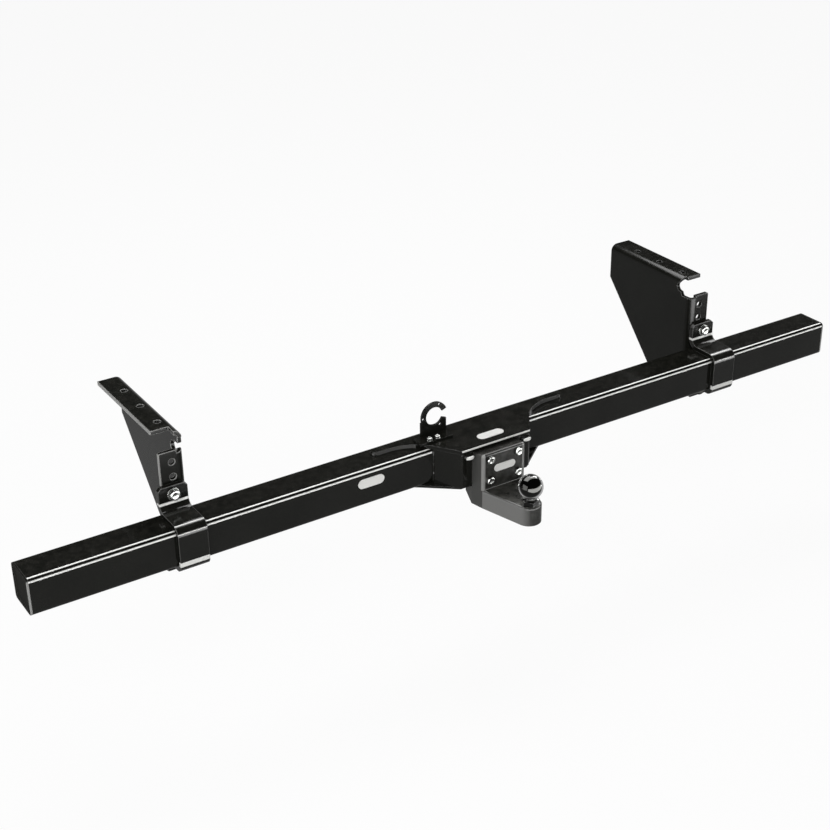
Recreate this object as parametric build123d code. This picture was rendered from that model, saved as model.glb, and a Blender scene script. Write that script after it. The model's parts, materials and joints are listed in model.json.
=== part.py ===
from build123d import *
from math import acos, atan2, cos, hypot, pi, radians, sin, tan
import os

# A fixed towbar: a square cross tube, two folded side brackets with their straps,
# a plated nose, a bolted-on tongue with a 50 mm ball, and a bracket for the trailer socket.
# Millimetres. Each piece is drawn about the middle of the cross tube, X along the tube,
# -Y towards the trailer, +Z up, and is then moved so that the ball's centre is the origin.

# Cross tube
TUBE = 75.0
TUBE_WALL = 5.0
TUBE_CORNER = 8.0
BAR_LENGTH = 1880.0
CAP = 4.0
HALF = TUBE / 2

# Plate that the brackets and the nose are made of
PLATE = 8.0
BEND_INSIDE = 7.0
BEND = BEND_INSIDE + PLATE

# Side brackets, as on the right-hand side
BRACKET_X = 600.0
FLANGE = 50.0
BRACKET_TOP = 191.0
BRACKET_REAR = 310.0
BRACKET_FOOT = -84.0
TOP_FLANGE_FRONT = 66.0
FRONT_FLANGE_TOP = 157.0
CORNER_LIP = 22.0
FLANGE_CORNER = 3.0
REAR_EDGE_Z = 113.0
REAR_SLOPE = 0.9
RAIL_HOLE_X = BRACKET_X + 23.0
RAIL_HOLES_Y = (95.0, 170.0, 245.0)
BODY_HOLE_X = BRACKET_X + 26.0
BODY_HOLES_Z = (105.0, 135.0)
CHASSIS_HOLE = 13.0

# Straps round the tube, and their bolts
STRAP_X = 633.0
STRAP_WIDTH = 58.0
STRAP = 10.0
STRAP_TAB_CORNER = 6.0
STRAP_BEND_UPPER = 15.0
STRAP_BEND_LOWER = 6.0
STRAP_END_UPPER = 93.0
STRAP_END_LOWER = 83.0
STRAP_BOLTS_Z = (-68.5, 76.5)
STRAP_BOLT = 12.0
STRAP_HEX = 19.0
STRAP_HEAD = 8.0
STRAP_NUT = 10.0
STRAP_WASHER = 24.0
STRAP_WASHER_T = 2.5

# Nose: two plates with wings on the tube, and a folded plate between them
NOSE_HALF = 80.0
NOSE_FRONT = -89.5
NOSE_REAR = 17.0
FLARE_CENTRE = (195.0, -100.0)
FLARE_RADIUS = 101.0
WING_END = 225.0
WING_ROUND = 6.0
NOSE_LIP = 4.0
NOSE_SIDE_LIP = 0.5
BOTTOM_PLATE = 5.0
BOTTOM_CORNER = (79.5, -82.0)
BOTTOM_FLARE_CENTRE = (210.6, -117.7)
BOTTOM_FLARE_RADIUS = 110.0
NOSE_PLATE_FRONT = NOSE_FRONT + NOSE_LIP
NOSE_FOLD_INSIDE = 2.0

# Chain loops on the front of the nose
LOOP_X = 68.0
LOOP_Z = 31.5
LOOP_ROD = 7.0
LOOP_RADIUS = 8.0
LOOP_LEG = 5.0

# Tongue
FACE_Y = -114.0
FACE_HALF = 50.0
FACE_TOP = 38.0
FACE_TOP_REAR = 33.5
BACK_HALF = 56.0
SHELF_Z = -40.0
SHELF = 10.0
SKIRT_FOOT = -80.0
TONGUE_WALL = 5.0
TIP_Y = -198.0
TIP_RADIUS = 25.0
TONGUE_ROUND = 4.0
CHEEK_REAR = -64.0
CHEEK_CORNER = 20.0
TONGUE_BOLT_X = 33.0
TONGUE_BOLTS_Z = (-21.0, 24.0)
TONGUE_BOLT = 10.0
TONGUE_HEX = 16.0
TONGUE_HEAD = 6.5
TONGUE_NUT = 8.5
TONGUE_WASHER = 20.0
TONGUE_WASHER_T = 2.0
BOSS = 26.0

# Ball
BALL = 50.0
BALL_Y = -202.0
BALL_Z = -4.0
BALL_FLAT = 14.0
COLLAR_HEX = 33.0
COLLAR = 10.0
NECK = 26.0
SHANK = 18.0
BALL_WASHER = 31.0
BALL_WASHER_T = 4.0
BALL_NUT_HEX = 27.0
BALL_NUT = 15.0
SHANK_END = -76.0

# Socket bracket
RING_X = -89.5
RING_Z = 88.5
RING_OUT = 30.0
RING_IN = 19.0
UPRIGHT_X = (-121.0, -62.0)
RING_GAP = 42.0
RING_SCREW_CIRCLE = 51.0
RING_SCREW = 5.5
RING_SCREW_ANGLES = (62.0, 182.0, 302.0)
SOCKET_SHEET = 4.0
FOOT_X = (-138.0, UPRIGHT_X[1])
SOCKET_BEND = 3.5
FOOT_FRONT = -28.0
SOCKET_BOLT_PLACES = ((-112.0, -21.0), (-94.0, -21.0))
SOCKET_BOLT = 6.0
SOCKET_HEX = 10.0
SOCKET_HEAD = 4.5
SOCKET_WASHER = 12.5
SOCKET_WASHER_T = 1.5

# Blank plates: place of the middle, then length and height
LABEL_T = 1.0
BAR_LABEL = (-256.0, 11.0, 58.0, 20.0)
NOSE_LABEL = (5.0, -60.0, 60.0, 21.0)
TONGUE_LABEL = (2.0, 1.5, 50.0, 16.0)

# Clearances
FIT = 0.5
BOLT_ROOM = 1.0


def tangent_point(point, centre, radius, side):
    """Where a straight line from the point touches the circle; side is +1 or -1."""
    dx, dy = point[0] - centre[0], point[1] - centre[1]
    turn = atan2(dy, dx) + side * acos(radius / hypot(dx, dy))
    return centre[0] + radius * cos(turn), centre[1] + radius * sin(turn)


def both_sides(shape):
    """The shape and its mirror image across the middle of the bar."""
    return shape, mirror(shape, about=Plane.YZ)


def hexagon(across_flats, height):
    """A hexagonal prism standing on the XY plane, its top corners turned off."""
    prism = extrude(RegularPolygon(across_flats / 2, 6, major_radius=False), height)
    blank = Pos(0, 0, height / 2) * Cylinder(across_flats / 3 ** 0.5, height)
    blank = chamfer(blank.edges().sort_by(Axis.Z)[-1], across_flats * 0.07)
    return prism & blank


def bored_nut(across_flats, height, bolt):
    """A plain nut with running room round its bolt, standing on the XY plane."""
    return hexagon(across_flats, height) - Cylinder((bolt + FIT) / 2, 3 * height)


def ring(outer, inner, height):
    """A flat washer standing on the XY plane."""
    return extrude(Circle(outer / 2) - Circle(inner / 2), height)


def facing_front(x, y, z):
    """A place whose own +Z points to the front of the towbar."""
    return Location((x, y, z), (90, 0, 0))


def facing_rear(x, y, z):
    """A place whose own +Z points to the rear, towards the tube."""
    return Location((x, y, z), (-90, 0, 0))


def rod_to_rear(diameter, x, z, front, rear):
    """A round bar parallel to Y."""
    return Location((x, (front + rear) / 2, z), (90, 0, 0)) * Cylinder(diameter / 2, rear - front)


def cross_tube():
    outside = RectangleRounded(TUBE, TUBE, TUBE_CORNER)
    inside = RectangleRounded(TUBE - 2 * TUBE_WALL, TUBE - 2 * TUBE_WALL, TUBE_CORNER - TUBE_WALL)
    return extrude(Plane.YZ * (outside - inside), BAR_LENGTH / 2 - CAP, both=True)


def end_cap():
    blank = extrude(Plane.YZ.offset(BAR_LENGTH / 2 - CAP) * RectangleRounded(TUBE, TUBE, TUBE_CORNER), CAP)
    return chamfer(blank.faces().sort_by(Axis.X)[-1].edges(), 1.0)


def quarter_bend(quadrant_x, quadrant_y):
    """The section of a folded corner: a quarter of a ring in one quadrant."""
    band = Circle(BEND) - Circle(BEND_INSIDE)
    return band & Pos(quadrant_x * BEND / 2, quadrant_y * BEND / 2) * Rectangle(BEND, BEND)


def bracket_web():
    """The upright sheet, in the YZ plane. The rear edge drops straight, then slants to the foot."""
    front = HALF + BEND
    foot_rear = BRACKET_REAR - REAR_SLOPE * (REAR_EDGE_Z - BRACKET_FOOT)
    outline = Polyline(
        (front, BRACKET_FOOT),
        (front, FRONT_FLANGE_TOP - 9),
        (front - 6, FRONT_FLANGE_TOP + 8),
        (front - 6, BRACKET_TOP - BEND),
        (BRACKET_REAR, BRACKET_TOP - BEND),
        (BRACKET_REAR, REAR_EDGE_Z),
        (foot_rear, BRACKET_FOOT),
        close=True,
    )
    return extrude(Plane.YZ.offset(BRACKET_X) * make_face(outline), PLATE)


def front_flange():
    fold_x, fold_y = BRACKET_X + BEND, HALF + BEND
    leaf = Pos(fold_x + (FLANGE - BEND) / 2, HALF + PLATE / 2) * Rectangle(FLANGE - BEND, PLATE)
    section = Pos(fold_x, fold_y) * quarter_bend(-1, -1) + leaf
    flange = extrude(Plane.XY.offset(BRACKET_FOOT) * section, FRONT_FLANGE_TOP - BRACKET_FOOT)
    outer_corners = flange.edges().filter_by(Axis.Y).sort_by(Axis.X)[-2:]
    return fillet(outer_corners, FLANGE_CORNER)


def top_flange():
    fold_x, fold_z = BRACKET_X + BEND, BRACKET_TOP - BEND
    leaf = Pos(fold_x + (FLANGE - BEND) / 2, BRACKET_TOP - PLATE / 2) * Rectangle(FLANGE - BEND, PLATE)
    bend = Pos(fold_x, fold_z) * quarter_bend(-1, 1)
    rear = Plane.XZ.offset(-BRACKET_REAR)
    flat_part = extrude(rear * leaf, BRACKET_REAR - TOP_FLANGE_FRONT)
    bent_part = extrude(rear * bend, BRACKET_REAR - TOP_FLANGE_FRONT + CORNER_LIP)
    return flat_part + bent_part


def small_relief():
    """The cut that frees the two folds from each other, in the YZ plane."""
    return Pos(67, 147) * Circle(13) + Pos(46, 156.5) * Rectangle(32, 13)


def large_relief():
    """The wider cut of the right-hand bracket, which opens the whole corner."""
    lobes = Pos(73, 169) * Circle(10) + Pos(62, 158) * Circle(7.5)
    above = BRACKET_TOP + 1
    corner = Polyline((30, 151), (62, 151), (71, 159), (82, 172), (69, above), (30, above), close=True)
    return lobes + make_face(corner)


def side_bracket(relief):
    bracket = bracket_web() + front_flange() + top_flange()
    bracket -= extrude(Plane.YZ.offset(BRACKET_X - 1) * relief, BEND + 1)
    for y in RAIL_HOLES_Y:
        bracket -= Pos(RAIL_HOLE_X, y, BRACKET_TOP) * Cylinder(CHASSIS_HOLE / 2, 4 * PLATE)
    for z in BODY_HOLES_Z:
        bracket -= rod_to_rear(CHASSIS_HOLE, BODY_HOLE_X, z, HALF - PLATE, HALF + 2 * PLATE)
    for z in STRAP_BOLTS_Z:
        bracket -= rod_to_rear(STRAP_BOLT + BOLT_ROOM, STRAP_X, z, HALF - PLATE, HALF + 2 * PLATE)
    return bracket


def half_strap(bend, end):
    """The strap's section above the middle of the tube: round the front, over the top, then up behind."""
    outside = HALF + STRAP
    fold_y, fold_z = HALF - STRAP - bend, outside + bend
    wrap = RectangleRounded(2 * outside, 2 * outside, TUBE_CORNER + STRAP)
    wrap -= RectangleRounded(TUBE, TUBE, TUBE_CORNER)
    wrap &= Pos((fold_y - outside) / 2, outside / 2) * Rectangle(fold_y + outside, outside)
    fold_out = STRAP + bend
    fold = Circle(fold_out) - Circle(bend)
    fold &= Pos(fold_out / 2, -fold_out / 2) * Rectangle(fold_out, fold_out)
    tab = Pos(HALF - STRAP / 2, (fold_z + end) / 2) * Rectangle(STRAP, end - fold_z)
    return wrap + Pos(fold_y, fold_z) * fold + tab


def strap():
    """A flat bar bent over the top, front and underside of the tube, with a tab above and one below."""
    section = half_strap(STRAP_BEND_UPPER, STRAP_END_UPPER)
    section += mirror(half_strap(STRAP_BEND_LOWER, STRAP_END_LOWER), about=Plane.XZ)
    bar = extrude(Plane.YZ.offset(STRAP_X) * section, STRAP_WIDTH / 2, both=True)
    ends = bar.edges().filter_by(Axis.Y).group_by(Axis.Z)
    bar = chamfer(ends[0] + ends[-1], STRAP_TAB_CORNER)
    for z in STRAP_BOLTS_Z:
        bar -= rod_to_rear(STRAP_BOLT + BOLT_ROOM, STRAP_X, z, HALF - 2 * STRAP, HALF + STRAP)
    return bar


def nose_outline(corner, centre, radius):
    """The plan of a plate of the nose: a square front, straight flares, then arcs out to the wings."""
    touch = tangent_point(corner, centre, radius, -1)
    turn = atan2(touch[1] - centre[1], touch[0] - centre[0])
    middle = (turn + pi / 2) / 2
    arc_middle = (centre[0] + radius * cos(middle), centre[1] + radius * sin(middle))
    arc_top = (centre[0], centre[1] + radius)
    edge = Polyline((0, NOSE_REAR), (0, corner[1]), corner, touch)
    edge += ThreePointArc(touch, arc_middle, arc_top)
    edge += Polyline(arc_top, (WING_END, arc_top[1]), (WING_END, NOSE_REAR), (0, NOSE_REAR))
    half = make_face(edge)
    half = fillet(half.vertices().sort_by(Axis.X)[-2:], WING_ROUND)
    return half + mirror(half, about=Plane.YZ)


def nose_top_plate():
    outline = nose_outline((NOSE_HALF, NOSE_FRONT), FLARE_CENTRE, FLARE_RADIUS)
    plate = extrude(Plane.XY.offset(HALF) * outline, PLATE)
    for x, y in SOCKET_BOLT_PLACES:
        plate -= Pos(x, y, HALF) * Cylinder(SOCKET_BOLT / 2 + FIT / 2, 4 * PLATE)
    return plate


def nose_bottom_plate():
    outline = nose_outline(BOTTOM_CORNER, BOTTOM_FLARE_CENTRE, BOTTOM_FLARE_RADIUS)
    return extrude(Plane.XY.offset(-HALF - BOTTOM_PLATE) * outline, BOTTOM_PLATE)


def flare_x(y, inset):
    """Half width of the nose on its straight flare, measured this far inside the plates' edge."""
    touch = tangent_point((NOSE_HALF, NOSE_FRONT), FLARE_CENTRE, FLARE_RADIUS, -1)
    lean = atan2(touch[1] - NOSE_FRONT, touch[0] - NOSE_HALF)
    return NOSE_HALF + (y - NOSE_FRONT) / tan(lean) - inset / sin(lean)


def nose_block(inset, fold):
    """Everything inside a skin this far within the front plate; fold is the radius of its corners."""
    front, side = NOSE_PLATE_FRONT + inset, NOSE_SIDE_LIP + inset
    half_front, half_rear = flare_x(front, side), flare_x(-HALF, side)
    outline = Polyline(
        (half_front, front), (half_rear, -HALF), (-half_rear, -HALF), (-half_front, front), close=True
    )
    block = extrude(Plane.XY.offset(-HALF) * make_face(outline), TUBE)
    return fillet(block.edges().filter_by(Axis.Z).group_by(Axis.Y)[0], fold)


def nose_front_plate():
    """One strip folded round the front of the nose, its two ends on the face of the tube."""
    strip = nose_block(0, NOSE_FOLD_INSIDE + PLATE) - nose_block(PLATE, NOSE_FOLD_INSIDE)
    for x, z in tongue_bolt_places():
        hole_front, hole_rear = NOSE_PLATE_FRONT - PLATE, NOSE_PLATE_FRONT + 2 * PLATE
        strip -= rod_to_rear(TONGUE_BOLT + BOLT_ROOM, x, z, hole_front, hole_rear)
    return strip


def chain_loop():
    """A round rod bent to a U, lying flat, its two ends welded to the front of the nose."""
    turn_y = NOSE_PLATE_FRONT - LOOP_LEG
    root_y = NOSE_PLATE_FRONT + PLATE
    left, right = LOOP_X - LOOP_RADIUS, LOOP_X + LOOP_RADIUS
    path = Line((left, root_y), (left, turn_y))
    path += ThreePointArc((left, turn_y), (LOOP_X, turn_y - LOOP_RADIUS), (right, turn_y))
    path += Line((right, turn_y), (right, root_y))
    path = Pos(0, 0, LOOP_Z) * path
    rod = sweep(Plane(path @ 0, z_dir=path % 0) * Circle(LOOP_ROD / 2), path)
    return rod - nose_block(0, NOSE_FOLD_INSIDE + PLATE)


def tongue_plan(inset, rear):
    """The tongue from above: slightly flared behind its face, tapering to a round tip."""
    radius = TIP_RADIUS - inset
    shoulder = (FACE_HALF - inset, FACE_Y)
    touch = tangent_point(shoulder, (0, TIP_Y), radius, -1)
    edge = Polyline((-touch[0], touch[1]), (-shoulder[0], FACE_Y), (inset - BACK_HALF, rear))
    edge += Polyline((inset - BACK_HALF, rear), (BACK_HALF - inset, rear), shoulder, touch)
    edge += ThreePointArc(touch, (0, TIP_Y - radius), (-touch[0], touch[1]))
    return make_face(edge)


def tongue_cheek():
    """The side wall where it reaches back under the nose, with its lower corner cut off."""
    front, top = NOSE_PLATE_FRONT, -HALF - BOTTOM_PLATE - FIT
    outline = Polyline(
        (front, top),
        (CHEEK_REAR, top),
        (CHEEK_REAR, SKIRT_FOOT + CHEEK_CORNER),
        (CHEEK_REAR - CHEEK_CORNER, SKIRT_FOOT),
        (front, SKIRT_FOOT),
        close=True,
    )
    return extrude(Plane.YZ.offset(BACK_HALF - TONGUE_WALL) * make_face(outline), TONGUE_WALL)


def tongue_face_block():
    """The upright part in front of the nose, its top sloping down a little to the rear."""
    rear, root = NOSE_PLATE_FRONT, SHELF_Z - SHELF
    plan = make_face(
        Polyline((-BACK_HALF, rear), (-FACE_HALF, FACE_Y), (FACE_HALF, FACE_Y), (BACK_HALF, rear), close=True)
    )
    block = extrude(Plane.XY.offset(root) * plan, FACE_TOP - root)
    side = make_face(
        Polyline((FACE_Y, root), (FACE_Y, FACE_TOP), (rear, FACE_TOP_REAR), (rear, root), close=True)
    )
    block &= extrude(Plane.YZ * side, BACK_HALF, both=True)
    corners = block.edges().filter_by(lambda e: e.center().Y < FACE_Y + 0.1 and e.center().Z > root + 1)
    top_sides = block.edges().filter_by(
        lambda e: abs(e.center().X) > FACE_HALF and e.center().Z > FACE_TOP_REAR and e.center().Y < rear - 1
    )
    return fillet(corners + top_sides, TONGUE_ROUND)


def tongue():
    """An open-backed pan: a bolted face above, and a shelf with a deep skirt below."""
    rear = NOSE_PLATE_FRONT
    lower = extrude(Plane.XY.offset(SKIRT_FOOT) * tongue_plan(0, rear), SHELF_Z - SKIRT_FOOT)
    rim = lower.edges().filter_by(lambda e: e.center().Z > SHELF_Z - 0.1 and e.center().Y < rear - 1)
    body = fillet(rim, TONGUE_ROUND) + tongue_face_block()
    face_back = FACE_Y + PLATE
    under = extrude(Plane.XY.offset(SKIRT_FOOT) * tongue_plan(TONGUE_WALL, rear), SHELF_Z - SHELF - SKIRT_FOOT)
    pocket_top = FACE_TOP_REAR - TONGUE_WALL
    pocket = Pos(0, (face_back + rear) / 2, (pocket_top + SKIRT_FOOT) / 2)
    pocket *= Box(2 * (FACE_HALF - TONGUE_WALL), rear - face_back, pocket_top - SKIRT_FOOT)
    hollow = body - under - pocket
    for x, z in tongue_bolt_places():
        hollow += rod_to_rear(BOSS, x, z, face_back - 1, rear) & body
    for x, z in tongue_bolt_places():
        hollow -= rod_to_rear(TONGUE_BOLT + BOLT_ROOM, x, z, FACE_Y - PLATE, rear + PLATE)
    hollow -= Pos(0, BALL_Y, SHELF_Z) * Cylinder((SHANK + BOLT_ROOM) / 2, 4 * SHELF)
    cheek = tongue_cheek()
    return hollow + cheek + mirror(cheek, about=Plane.YZ)


def tow_ball():
    """A ball with a small flat on top, on a short neck, a hexagonal collar and a shank."""
    ball = Sphere(BALL / 2)
    flat_z = (BALL ** 2 - BALL_FLAT ** 2) ** 0.5 / 2
    ball = Pos(0, BALL_Y, BALL_Z) * (ball & Pos(0, 0, flat_z - BALL / 2) * Box(BALL, BALL, BALL))
    collar_top = SHELF_Z + COLLAR
    neck_top = BALL_Z - BALL / 4
    neck = Pos(0, BALL_Y, (collar_top + neck_top) / 2) * Cylinder(NECK / 2, neck_top - collar_top)
    collar = Pos(0, BALL_Y, SHELF_Z) * hexagon(COLLAR_HEX, COLLAR)
    shank = Pos(0, BALL_Y, (SHELF_Z + SHANK_END) / 2) * Cylinder(SHANK / 2, SHELF_Z - SHANK_END)
    return ball + neck + collar + shank


def socket_bracket():
    """An open ring of sheet standing on a foot that is bolted to the nose."""
    base = HALF + PLATE
    upright = Pos(RING_X, RING_Z) * Circle(RING_OUT)
    middle, width = (UPRIGHT_X[0] + UPRIGHT_X[1]) / 2, UPRIGHT_X[1] - UPRIGHT_X[0]
    shoulder_z = RING_Z - RING_OUT / 4
    upright += Pos(middle, (base + shoulder_z) / 2) * Rectangle(width, shoulder_z - base)
    reach = 2 * RING_OUT
    jaw = reach * tan(radians(RING_GAP / 2))
    gap = make_face(Polyline((0, 0), (reach, -jaw), (reach, jaw), close=True))
    upright -= Pos(RING_X, RING_Z) * (Circle(RING_IN) + gap)
    for angle in RING_SCREW_ANGLES:
        place = radians(angle)
        screw_x = RING_X + RING_SCREW_CIRCLE / 2 * cos(place)
        screw_z = RING_Z + RING_SCREW_CIRCLE / 2 * sin(place)
        upright -= Pos(screw_x, screw_z) * Circle(RING_SCREW / 2)
    ring_plate = extrude(Plane.XZ * upright, SOCKET_SHEET)
    length = FOOT_X[1] - FOOT_X[0]
    foot = Pos((FOOT_X[0] + FOOT_X[1]) / 2, FOOT_FRONT / 2, base + SOCKET_SHEET / 2)
    foot *= Box(length, -FOOT_FRONT, SOCKET_SHEET)
    bracket = ring_plate + foot
    along = bracket.edges().filter_by(Axis.X)
    outside = along.filter_by(lambda e: abs(e.center().Y) < 0.1 and abs(e.center().Z - base) < 0.1)
    bracket = fillet(outside, SOCKET_BEND)
    for x, y in SOCKET_BOLT_PLACES:
        bracket -= Pos(x, y, base) * Cylinder((SOCKET_BOLT + FIT) / 2, 4 * SOCKET_SHEET)
    return bracket


def socket_bolts():
    seat = HALF + PLATE + SOCKET_SHEET + SOCKET_WASHER_T
    shank_foot = HALF + 1
    bolts = []
    for x, y in SOCKET_BOLT_PLACES:
        shank = Pos(x, y, (seat + shank_foot) / 2) * Cylinder(SOCKET_BOLT / 2, seat - shank_foot)
        bolts.append(Pos(x, y, seat) * hexagon(SOCKET_HEX, SOCKET_HEAD) + shank)
    return bolts


def socket_washers():
    seat = HALF + PLATE + SOCKET_SHEET
    washer = ring(SOCKET_WASHER, SOCKET_BOLT + FIT, SOCKET_WASHER_T)
    return [Pos(x, y, seat) * washer for x, y in SOCKET_BOLT_PLACES]


def strap_bolt_places():
    return [(side * STRAP_X, z) for side in (-1, 1) for z in STRAP_BOLTS_Z]


def strap_bolts():
    seat = HALF - STRAP - STRAP_WASHER_T
    shank_end = HALF + PLATE + STRAP_NUT + STRAP_BOLT / 4
    bolts = []
    for x, z in strap_bolt_places():
        head = facing_front(x, seat, z) * hexagon(STRAP_HEX, STRAP_HEAD)
        bolts.append(head + rod_to_rear(STRAP_BOLT, x, z, seat, shank_end))
    return bolts


def strap_washers():
    washer = ring(STRAP_WASHER, STRAP_BOLT + FIT, STRAP_WASHER_T)
    return [facing_front(x, HALF - STRAP, z) * washer for x, z in strap_bolt_places()]


def strap_nuts():
    nut = bored_nut(STRAP_HEX, STRAP_NUT, STRAP_BOLT)
    return [facing_rear(x, HALF + PLATE, z) * nut for x, z in strap_bolt_places()]


def tongue_bolt_places():
    return [(x, z) for x in (-TONGUE_BOLT_X, TONGUE_BOLT_X) for z in TONGUE_BOLTS_Z]


def tongue_bolts():
    shank_end = NOSE_PLATE_FRONT + PLATE + TONGUE_WASHER_T + TONGUE_NUT + TONGUE_BOLT / 8
    bolts = []
    for x, z in tongue_bolt_places():
        head = facing_front(x, FACE_Y, z) * hexagon(TONGUE_HEX, TONGUE_HEAD)
        bolts.append(head + rod_to_rear(TONGUE_BOLT, x, z, FACE_Y, shank_end))
    return bolts


def tongue_washers():
    washer = ring(TONGUE_WASHER, TONGUE_BOLT + FIT, TONGUE_WASHER_T)
    return [facing_rear(x, NOSE_PLATE_FRONT + PLATE, z) * washer for x, z in tongue_bolt_places()]


def tongue_nuts():
    nut = bored_nut(TONGUE_HEX, TONGUE_NUT, TONGUE_BOLT)
    seat = NOSE_PLATE_FRONT + PLATE + TONGUE_WASHER_T
    return [facing_rear(x, seat, z) * nut for x, z in tongue_bolt_places()]


def ball_washer():
    top = SHELF_Z - SHELF
    return Pos(0, BALL_Y, top - BALL_WASHER_T) * ring(BALL_WASHER, SHANK + FIT, BALL_WASHER_T)


def ball_nut():
    top = SHELF_Z - SHELF - BALL_WASHER_T
    return Pos(0, BALL_Y, top - BALL_NUT) * bored_nut(BALL_NUT_HEX, BALL_NUT, SHANK)


def bar_label_plate():
    x, z, length, height = BAR_LABEL
    return facing_front(x, -HALF, z) * extrude(SlotOverall(length, height), LABEL_T)


def nose_label_plate():
    x, y, length, height = NOSE_LABEL
    return Pos(x, y, HALF + PLATE) * extrude(SlotOverall(length, height), LABEL_T)


def tongue_label_plate():
    x, z, length, height = TONGUE_LABEL
    return facing_front(x, FACE_Y, z) * extrude(SlotOverall(length, height), LABEL_T)


def save(name, *solids):
    """Writes one sub-part, moved so that the ball's centre is the origin."""
    to_ball = Location((0, -BALL_Y, -BALL_Z))
    placed = [to_ball * solid for solid in solids]
    shape = placed[0] if len(placed) == 1 else Compound(children=placed)
    export_step(shape, f"parts/{name}.step")


def save_pair(name, shape):
    """Writes a right-hand piece and its mirror image."""
    right, left = both_sides(shape)
    save(name + "_left", left)
    save(name + "_right", right)


os.makedirs("parts", exist_ok=True)
save("cross_tube", cross_tube())
save_pair("end_cap", end_cap())
save("side_bracket_left", mirror(side_bracket(small_relief()), about=Plane.YZ))
save("side_bracket_right", side_bracket(large_relief()))
save_pair("strap", strap())
save("strap_bolts", *strap_bolts())
save("strap_washers", *strap_washers())
save("strap_nuts", *strap_nuts())
save("nose_top_plate", nose_top_plate())
save("nose_bottom_plate", nose_bottom_plate())
save("nose_front_plate", nose_front_plate())
save_pair("chain_loop", chain_loop())
save("tongue", tongue())
save("tongue_bolts", *tongue_bolts())
save("tongue_washers", *tongue_washers())
save("tongue_nuts", *tongue_nuts())
save("tow_ball", tow_ball())
save("ball_washer", ball_washer())
save("ball_nut", ball_nut())
save("socket_bracket", socket_bracket())
save("socket_bolts", *socket_bolts())
save("socket_washers", *socket_washers())
save("bar_label_plate", bar_label_plate())
save("nose_label_plate", nose_label_plate())
save("tongue_label_plate", tongue_label_plate())
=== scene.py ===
# %% [markdown]
# # Dressing a fixed towbar
# The towbar is a square steel tube that hangs across the back of a vehicle. Folded brackets carry it on
# the chassis, straps clamp it to them, and a plated nose in the middle holds the tongue and its ball.
# The solids come from the CAD model and keep their places and sizes. This script gives them their paint
# and plating, and adds what solids leave out: turned fasteners with threads, weld beads, formed plugs.

import json
import math

import bpy
import numpy as np
from mathutils import Matrix, Vector


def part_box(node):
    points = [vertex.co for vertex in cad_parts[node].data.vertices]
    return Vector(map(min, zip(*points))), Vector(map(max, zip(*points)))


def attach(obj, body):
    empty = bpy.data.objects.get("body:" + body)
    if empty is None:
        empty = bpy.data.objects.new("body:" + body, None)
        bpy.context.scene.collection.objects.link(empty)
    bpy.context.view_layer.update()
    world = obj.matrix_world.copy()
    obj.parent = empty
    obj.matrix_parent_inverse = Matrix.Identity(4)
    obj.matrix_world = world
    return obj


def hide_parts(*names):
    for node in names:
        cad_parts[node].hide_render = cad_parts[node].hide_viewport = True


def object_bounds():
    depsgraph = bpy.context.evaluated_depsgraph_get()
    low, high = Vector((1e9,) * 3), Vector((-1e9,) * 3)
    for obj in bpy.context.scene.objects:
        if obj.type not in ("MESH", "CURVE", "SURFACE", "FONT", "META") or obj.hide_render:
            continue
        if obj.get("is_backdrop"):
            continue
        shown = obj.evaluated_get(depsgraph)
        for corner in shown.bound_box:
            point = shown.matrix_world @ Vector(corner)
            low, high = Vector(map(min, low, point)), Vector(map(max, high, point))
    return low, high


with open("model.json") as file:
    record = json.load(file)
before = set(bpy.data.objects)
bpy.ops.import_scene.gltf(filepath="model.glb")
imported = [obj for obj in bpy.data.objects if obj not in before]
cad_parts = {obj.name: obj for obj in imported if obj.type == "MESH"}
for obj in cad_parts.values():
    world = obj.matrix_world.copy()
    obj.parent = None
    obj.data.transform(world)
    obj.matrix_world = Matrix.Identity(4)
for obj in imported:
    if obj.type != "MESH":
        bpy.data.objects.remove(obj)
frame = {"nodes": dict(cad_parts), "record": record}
cad_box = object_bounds()
scene = bpy.context.scene
print("solids loaded:", len(frame["nodes"]))

# %% [markdown]
# ## The camera
# The photographer stood to the left, about three metres away and well above the bar, with a short
# telephoto lens. The place and the three angles below are worked out from the long edges of the tube,
# so they are kept exact: a tenth of a degree already moves the ends of the bar by a pixel.

# %% Camera at the photographer's place
CAMERA_AT = (-1.5620, -2.0721, 1.5137)
AZIMUTH, ELEVATION, ROLL = (math.radians(v) for v in (-32.171, 27.661, -0.853))
FOCAL_LENGTH_PX = 1565.24
FRAME_PX = 830
SENSOR_MM = 36
FARTHEST_SEEN = 100

backward = Vector((
    math.sin(AZIMUTH) * math.cos(ELEVATION),
    -math.cos(AZIMUTH) * math.cos(ELEVATION),
    math.sin(ELEVATION),
))
level_right = (-backward).cross(Vector((0, 0, 1))).normalized()
level_up = level_right.cross(-backward)
camera_right = math.cos(ROLL) * level_right + math.sin(ROLL) * level_up
camera_up = math.cos(ROLL) * level_up - math.sin(ROLL) * level_right
placement = Matrix((camera_right, camera_up, backward)).transposed().to_4x4()
placement.translation = Vector(CAMERA_AT)

camera = bpy.data.objects.new("camera", bpy.data.cameras.new("camera"))
scene.collection.objects.link(camera)
camera.matrix_world = placement
camera.data.sensor_width = SENSOR_MM
camera.data.lens = FOCAL_LENGTH_PX / FRAME_PX * SENSOR_MM
camera.data.clip_end = FARTHEST_SEEN
scene.camera = camera
scene.view_settings.view_transform = "Standard"
print("lens:", round(camera.data.lens, 1), "mm")

# %% [markdown]
# ## Small helpers for node graphs
# Every material and the studio are graphs of nodes. A few helpers keep the graphs readable: one adds a
# node with its settings, one links sockets, and two place the nodes for sums and blends, which come back
# most often. All are plain shorthand for the calls that Blender offers.

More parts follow.
